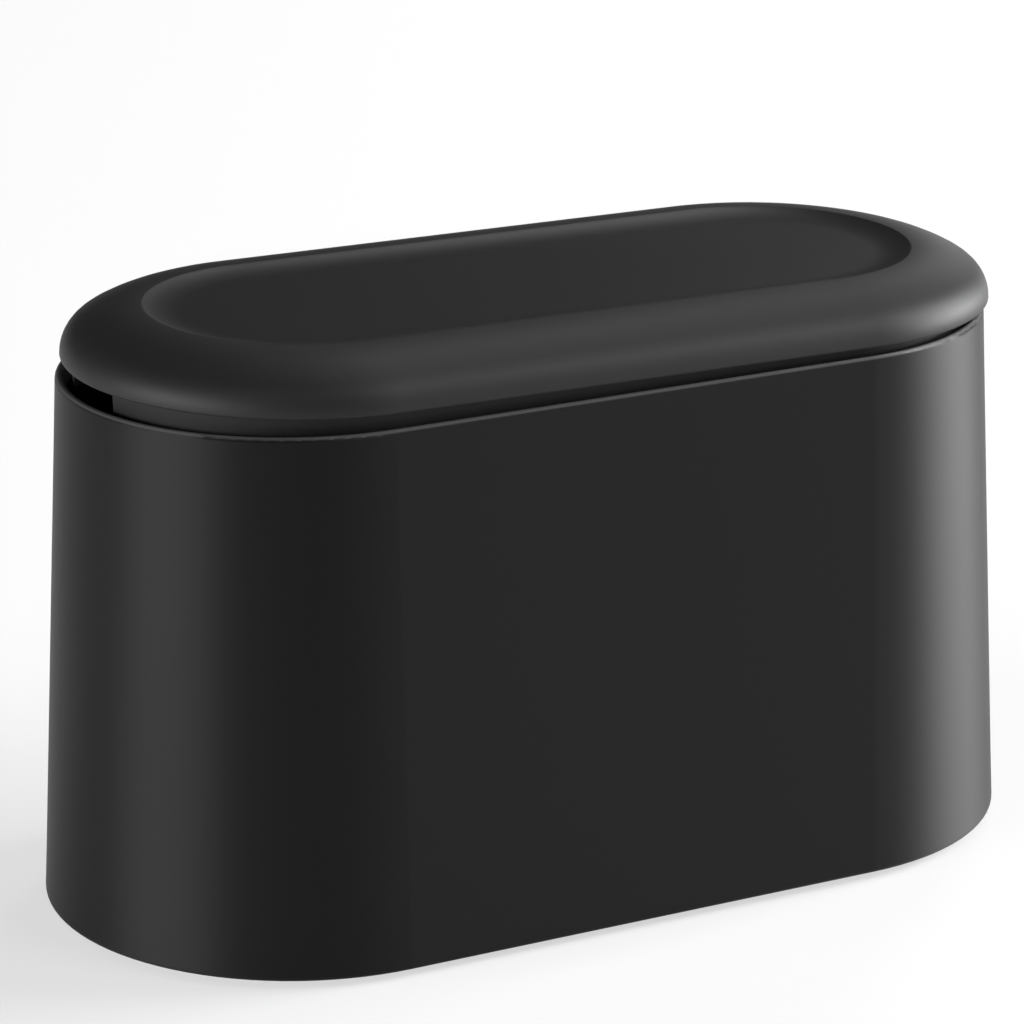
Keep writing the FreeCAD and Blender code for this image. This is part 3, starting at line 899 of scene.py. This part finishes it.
@dataclass
class LiftedBucket(SubAssembly):
    """Bucket, lower hinge leaf, rivets, pin and clips, which lift out.

    Attributes:
        rivet_spread: Rivets to either side of the middle, in metres.
        rivet_head: Radius of a rivet's heads, in metres.
        rivet_dome: Height of a rivet's heads, in metres.
        rivet_shank: Radius of a rivet's shank, in metres.
        dimple_radius: Hollow in the middle of a head, in metres.
        dimple_depth: Depth of that hollow, in metres.
    """

    body: Body = Body.BUCKET
    rivet_spread: float = 7.0 * MM
    rivet_head: float = 2.5 * MM
    rivet_dome: float = 0.8 * MM
    rivet_shank: float = 1.45 * MM
    dimple_radius: float = 0.8 * MM
    dimple_depth: float = 0.3 * MM

    def build(self, paintbox: Paintbox) -> None:
        """Dress the bucket, the lower leaf, the pin and the clips and model the rivets.

        Args:
            paintbox: The finishes.
        """
        self.dress(paintbox, ("leaf_rivets",))
        self.place("leaf_rivets_domed", self.rivets(), "leaf_rivets", FASTENER_STEEL, paintbox)

    def rivets(self) -> bmesh.types.BMesh:
        """Model the rivets with domed heads.

        Returns:
            The mesh of both, in place.
        """
        low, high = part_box("leaf_rivets")
        half = (high.x - low.x) / 2
        grip = half - self.rivet_dome
        brim = math.acos(self.dimple_radius / self.rivet_head)
        head = [
            (self.rivet_head * math.cos(angle), grip + self.rivet_dome * math.sin(angle))
            for angle in fractions(0.0, brim, ARC_POINTS)
        ]
        upper = [(self.rivet_shank, grip), *head, (0.0, half - self.dimple_depth)]
        lower = [(radius, -height) for radius, height in reversed(upper)]
        single = turned([*lower, *upper], self.sides)
        middle = (low + high) / 2
        lay = Matrix.Rotation(math.pi / 2, 4, "Y")
        return gathered(single, [
            Matrix.Translation((middle.x, side * self.rivet_spread, middle.z)) @ lay
            for side in (-1, 1)
        ])


@dataclass
class SwingingLid(SubAssembly):
    """Lid, liner, upper hinge leaf, bushes, screws and bumpers, which swing up.

    Attributes:
        tilt: Degrees that the resting lid stands up at the notch end.
        screw_reach: Liner screws from the middle of the lid, along it, in metres.
        screw_side: Liner screws from the middle of the lid, across it, in metres.
        liner_level: Underside of the level liner, in metres.
        leaf_level: Underside of the level upper leaf, in metres.
        leaf_reach: Leaf screws from the pin, in metres.
        leaf_side: Leaf screws to either side of the middle, in metres.
        cross_turn: Degrees by which each screw's cross is turned past the last one's.
        stem_radius: Radius of a bumper's stem, in metres.
        pad_dome: Height of the pad's dome, in metres.
        above_pad: How far a bumper's stem and button reach above its pad, in metres.
        slot_back: Slot for the hinge's barrel, from the pin inwards, in metres.
        slot_half: Half the width of that slot, in metres.
        slot_top: Top of that slot, in metres.
        seat_back: Seat of the upper leaf, from the pin inwards to its near and far end, in metres.
        seat_half: Half the width of that seat, in metres.
        seat_levels: Underside and top of that seat, in metres.
        moulding: The lid's moulding.
        screw: The screws that hold the liner and the leaf.
    """

    body: Body = Body.LID
    tilt: float = 0.7
    screw_reach: float = 65.0 * MM
    screw_side: float = 45.0 * MM
    liner_level: float = 140.9 * MM
    leaf_level: float = 142.2 * MM
    leaf_reach: float = 14.0 * MM
    leaf_side: float = 7.0 * MM
    cross_turn: float = 27.0
    stem_radius: float = 1.0 * MM
    pad_dome: float = 0.7 * MM
    above_pad: float = 2.3 * MM
    slot_back: float = 3.6 * MM
    slot_half: float = 14.2 * MM
    slot_top: float = 144.0 * MM
    seat_back: tuple[float, float] = (4.2 * MM, 22.0 * MM)
    seat_half: float = 12.0 * MM
    seat_levels: tuple[float, float] = (143.0 * MM, 146.1 * MM)
    moulding: LidMoulding = LidMoulding()
    screw: CrossScrew = CrossScrew()

    def build(self, paintbox: Paintbox) -> None:
        """Dress the liner, the leaf and the bushes and model the lid, screws and bumpers.

        Args:
            paintbox: The finishes.
        """
        bumpers = ("lid_bumper_front", "lid_bumper_back")
        self.dress(paintbox, ("lid_top", "liner_screws", "leaf_screws", *bumpers))
        self.place("lid_top_moulding", self.lid_top(), "lid_top", LID_PLASTIC, paintbox)
        for node, screws in (
            ("liner_screws", self.liner_screws()), ("leaf_screws", self.leaf_screws())
        ):
            self.place(f"{node}_cross", screws, node, FASTENER_STEEL, paintbox)
        for node in bumpers:
            self.place(f"{node}_pad", self.bumper(node), node, BUMPER_SILICONE, paintbox)

    def lid_top(self) -> bmesh.types.BMesh:
        """The lid's moulding with its hinge slot and leaf seat.

        Returns:
            The mesh, in place.
        """
        pin = self.hinge()["pos_m"][0]
        below_lip = self.moulding.lip_level - self.slot_half
        slot = block(
            Vector((pin - self.slot_back, -self.slot_half, below_lip)),
            Vector((pin + self.slot_half, self.slot_half, self.slot_top)),
        )
        near, far = self.seat_back
        under, top = self.seat_levels
        seat = block(
            Vector((pin - far, -self.seat_half, under)),
            Vector((pin - near, self.seat_half, top)),
        )
        whole = joined([carved(self.moulding.build(), slot), seat])
        whole.transform(self.tilted())
        return whole

    def hinge(self) -> dict:
        """The hinge's joint in the frame."""
        return next(joint for joint in frame["joints"] if joint["child"] == self.body.value)

    def tilted(self) -> Matrix:
        """The turn from a level lid to the resting one, about the hinge's pin."""
        pin = Vector(self.hinge()["pos_m"])
        turn = Matrix.Rotation(math.radians(self.tilt), 4, Vector(self.hinge()["axis"]))
        return Matrix.Translation(pin) @ turn @ Matrix.Translation(-pin)

    def screws(self, spots: Sequence[Vector]) -> bmesh.types.BMesh:
        """Set screws head down under the level lid and tilt them with it.

        Args:
            spots: Where each screw's seat is.

        Returns:
            The mesh of all the screws, in place.
        """
        flip = Matrix.Rotation(math.pi, 4, "X")
        return gathered(self.screw.build(), [
            self.tilted() @ Matrix.Translation(spot) @ flip
            @ Matrix.Rotation(math.radians(self.cross_turn * count), 4, "Z")
            for count, spot in enumerate(spots)
        ])

    def liner_screws(self) -> bmesh.types.BMesh:
        """The screws through the liner, in place."""
        return self.screws([
            Vector((x + self.moulding.shift, y, self.liner_level))
            for x in (-self.screw_reach, 0.0, self.screw_reach)
            for y in (-self.screw_side, self.screw_side)
        ])

    def leaf_screws(self) -> bmesh.types.BMesh:
        """The screws through the upper leaf, in place."""
        pin = self.hinge()["pos_m"][0]
        return self.screws([
            Vector((pin - self.leaf_reach, y, self.leaf_level))
            for y in (-self.leaf_side, self.leaf_side)
        ])

    def bumper(self, node: str) -> bmesh.types.BMesh:
        """Model one soft bumper with a domed pad.

        Args:
            node: The bumper's node.

        Returns:
            The mesh, in place.
        """
        low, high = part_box(node)
        radius = (high.x - low.x) / 2
        height = high.z - low.z
        dome = [
            (radius * math.sin(angle), self.pad_dome * (1.0 - math.cos(angle)))
            for angle in fractions(0.0, math.pi / 2, ARC_POINTS)
        ]
        pad_top = height - self.above_pad
        section = [
            *dome, (radius, pad_top), (self.stem_radius, pad_top),
            (self.stem_radius, height), (0.0, height),
        ]
        piece = turned(section, self.sides)
        middle = (low + high) / 2
        bmesh.ops.translate(piece, vec=(middle.x, middle.y, low.z), verts=piece.verts)
        return piece


@dataclass(frozen=True)
class SoftBox:
    """A rectangular studio lamp aimed at the can.

    Attributes:
        name: Name of the lamp.
        azimuth: Degrees round the can, 0 at +X, 90 at the back.
        elevation: Degrees above the table.
        width: Across, in metres.
        height: Upwards, in metres.
        radiance: Brightness of the lamp's face, 1 for white paper in plain light.
        distance: From the middle of the can, in metres.
    """

    name: str
    azimuth: float
    elevation: float
    width: float
    height: float
    radiance: float
    distance: float = 4.0

    def build(self, target: Vector) -> None:
        """Hang the lamp.

        Args:
            target: The point that the lamp faces.
        """
        lamp = bpy.data.lights.new(self.name, "AREA")
        lamp.shape = "RECTANGLE"
        lamp.size = self.width
        lamp.size_y = self.height
        lamp.energy = self.radiance * math.pi * self.width * self.height
        holder = bpy.data.objects.new(self.name, lamp)
        turn = math.radians(self.azimuth)
        rise = math.radians(self.elevation)
        away = Vector((
            math.cos(turn) * math.cos(rise),
            math.sin(turn) * math.cos(rise),
            math.sin(rise),
        ))
        holder.location = target + away * self.distance
        holder.rotation_mode = "QUATERNION"
        holder.rotation_quaternion = away.to_track_quat("Z", "Y")
        holder.visible_camera = False
        bpy.context.scene.collection.objects.link(holder)


@dataclass
class Studio:
    """Pale floor, soft lamps, sky and camera.

    Attributes:
        floor_radius: Reach of the floor, in metres.
        floor_sides: Sides of the floor's outline.
        floor_tone: Grey of the floor.
        floor_roughness: Roughness of the floor.
        floor_glow: Share of plain white that the floor shows to the camera and in mirrored views.
        sky_low: Brightness of the surroundings at the horizon.
        sky_high: Brightness of the surroundings overhead.
        sky_reach: Height of the sky's fade, 0 for the horizon and 1 for overhead.
        lamps: The studio's lamps.
        camera_turn: Degrees that the camera stands round to the right, negative to the left.
        camera_rise: Degrees that the camera looks down.
        camera_distance: From the middle of the can's foot, in metres.
        camera_aside: How far the picture's middle is left of that point, in metres.
        camera_above: How far the picture's middle is above that point, in metres.
        camera_foot: Height of that point, in metres.
        lens: Focal length, in millimetres.
        sensor: Width of the camera's sensor, in millimetres.
        clip: Nearest and farthest that the camera sees, in metres.
    """

    floor_radius: float = 30.0
    floor_sides: int = 96
    floor_tone: float = 0.9
    floor_roughness: float = 0.9
    floor_glow: float = 0.6
    sky_low: float = 0.05
    sky_high: float = 0.03
    sky_reach: float = 0.45
    # Azimuth, elevation, width, height and radiance of each lamp
    lamps: Sequence[SoftBox] = (
        SoftBox("right_low_box", -10.0, 5.0, 2.9, 0.7, 33.0),
        SoftBox("right_middle_box", -8.0, 22.0, 2.3, 1.4, 15.0),
        SoftBox("right_high_box", 0.0, 48.0, 1.43, 1.41, 3.0),
        SoftBox("right_front_box", -32.0, 34.0, 1.86, 1.12, 4.0),
        SoftBox("overhead_box", 0.0, 69.0, 1.66, 1.56, 0.5),
        SoftBox("front_high_box", -58.0, 46.0, 1.43, 1.41, 4.2),
        SoftBox("front_fill_box", -130.0, 50.0, 1.5, 1.4, 1.5),
        SoftBox("left_low_box", -175.0, 8.0, 3.2, 1.1, 15.0),
        SoftBox("back_strip_low", 45.0, 13.0, 0.9, 1.1, 2.8),
        SoftBox("back_strip_middle", 42.0, 34.0, 0.7, 1.2, 2.0),
        SoftBox("back_strip_high", 46.0, 51.0, 0.8, 0.9, 6.0),
    )
    camera_turn: float = -27.336
    camera_rise: float = 18.519
    camera_distance: float = 1.18777
    camera_aside: float = 0.004614
    camera_above: float = 0.082552
    camera_foot: float = 0.002
    lens: float = 162.0
    sensor: float = 36.0
    clip: tuple[float, float] = (0.01, 100.0)

    def build(self) -> None:
        """Set up the floor, the sky, the lamps and the camera."""
        self.lay_floor()
        self.hang_sky()
        middle = (cad_low + cad_high) / 2
        for lamp in self.lamps:
            lamp.build(middle)
            log.info("lamp %s", lamp.name)
        self.place_camera()
        bpy.context.scene.view_settings.view_transform = "Standard"

    def lay_floor(self) -> None:
        """Lay a plain pale floor that takes the can's shadow."""
        disc = bmesh.new()
        bmesh.ops.create_circle(
            disc, cap_ends=True, segments=self.floor_sides, radius=self.floor_radius
        )
        mesh = bpy.data.meshes.new("floor")
        disc.to_mesh(mesh)
        disc.free()
        floor = bpy.data.objects.new("floor", mesh)
        bpy.context.scene.collection.objects.link(floor)
        material = bpy.data.materials.new("floor_paper")
        material.use_nodes = True
        paper = material.node_tree.nodes["Principled BSDF"]
        paper.inputs["Base Color"].default_value = (self.floor_tone,) * 3 + (1.0,)
        paper.inputs["Roughness"].default_value = self.floor_roughness
        paper.inputs["Specular IOR Level"].default_value = 0.0
        self.whiten(material.node_tree, paper)
        mesh.materials.append(material)

    def whiten(self, tree: bpy.types.NodeTree, paper: bpy.types.Node) -> None:
        """Show the floor nearer to white than it is lit, with its shadow kept.

        Args:
            tree: The floor's nodes.
            paper: The floor's shader.
        """
        white = tree.nodes.new("ShaderNodeEmission")
        white.inputs["Strength"].default_value = 1.0
        path = tree.nodes.new("ShaderNodeLightPath")
        seen = path.outputs["Is Camera Ray"]
        for ray in ("Is Glossy Ray", "Is Transmission Ray"):
            either = tree.nodes.new("ShaderNodeMath")
            either.operation = "ADD"
            tree.links.new(seen, either.inputs[0])
            tree.links.new(path.outputs[ray], either.inputs[1])
            seen = either.outputs["Value"]
        share = tree.nodes.new("ShaderNodeMath")
        share.operation = "MULTIPLY"
        share.inputs[1].default_value = self.floor_glow
        tree.links.new(seen, share.inputs[0])
        mixed = tree.nodes.new("ShaderNodeMixShader")
        tree.links.new(share.outputs["Value"], mixed.inputs["Fac"])
        tree.links.new(paper.outputs["BSDF"], mixed.inputs[1])
        tree.links.new(white.outputs["Emission"], mixed.inputs[2])
        tree.links.new(mixed.outputs["Shader"], tree.nodes["Material Output"].inputs["Surface"])

    def hang_sky(self) -> None:
        """Surround the studio with a dim sky that is a little lighter at the horizon."""
        world = bpy.data.worlds.new("studio_sky")
        world.use_nodes = True
        tree = world.node_tree
        sky = tree.nodes["Background"]
        direction = tree.nodes.new("ShaderNodeTexCoord")
        split = tree.nodes.new("ShaderNodeSeparateXYZ")
        tree.links.new(direction.outputs["Generated"], split.inputs["Vector"])
        fade = tree.nodes.new("ShaderNodeMapRange")
        fade.inputs["From Min"].default_value = 0.0
        fade.inputs["From Max"].default_value = self.sky_reach
        fade.inputs["To Min"].default_value = self.sky_low
        fade.inputs["To Max"].default_value = self.sky_high
        tree.links.new(split.outputs["Z"], fade.inputs["Value"])
        tree.links.new(fade.outputs["Result"], sky.inputs["Color"])
        bpy.context.scene.world = world

    def place_camera(self) -> None:
        """Put the camera where the picture was taken from."""
        turn = math.radians(self.camera_turn)
        rise = math.radians(self.camera_rise)
        right = Vector((math.cos(turn), math.sin(turn), 0.0))
        back = Vector((
            math.sin(turn) * math.cos(rise),
            -math.cos(turn) * math.cos(rise),
            math.sin(rise),
        ))
        above = back.cross(right)
        lens = bpy.data.cameras.new("camera")
        lens.lens = self.lens
        lens.sensor_width = self.sensor
        lens.clip_start, lens.clip_end = self.clip
        camera = bpy.data.objects.new("camera", lens)
        spot = UP * self.camera_foot + back * self.camera_distance
        spot += above * self.camera_above - right * self.camera_aside
        axes = Matrix((right, above, back)).transposed().to_4x4()
        camera.matrix_world = Matrix.Translation(spot) @ axes
        bpy.context.scene.collection.objects.link(camera)
        bpy.context.scene.camera = camera


def main() -> None:
    """Dress the can and set up the studio."""
    logging.basicConfig(level=logging.INFO, format="%(name)s: %(message)s")
    paintbox = Paintbox()
    for assembly in (StandingCan(), LiftedBucket(), SwingingLid()):
        assembly.build(paintbox)
    Studio().build()


if __name__ == "__main__":
    main()
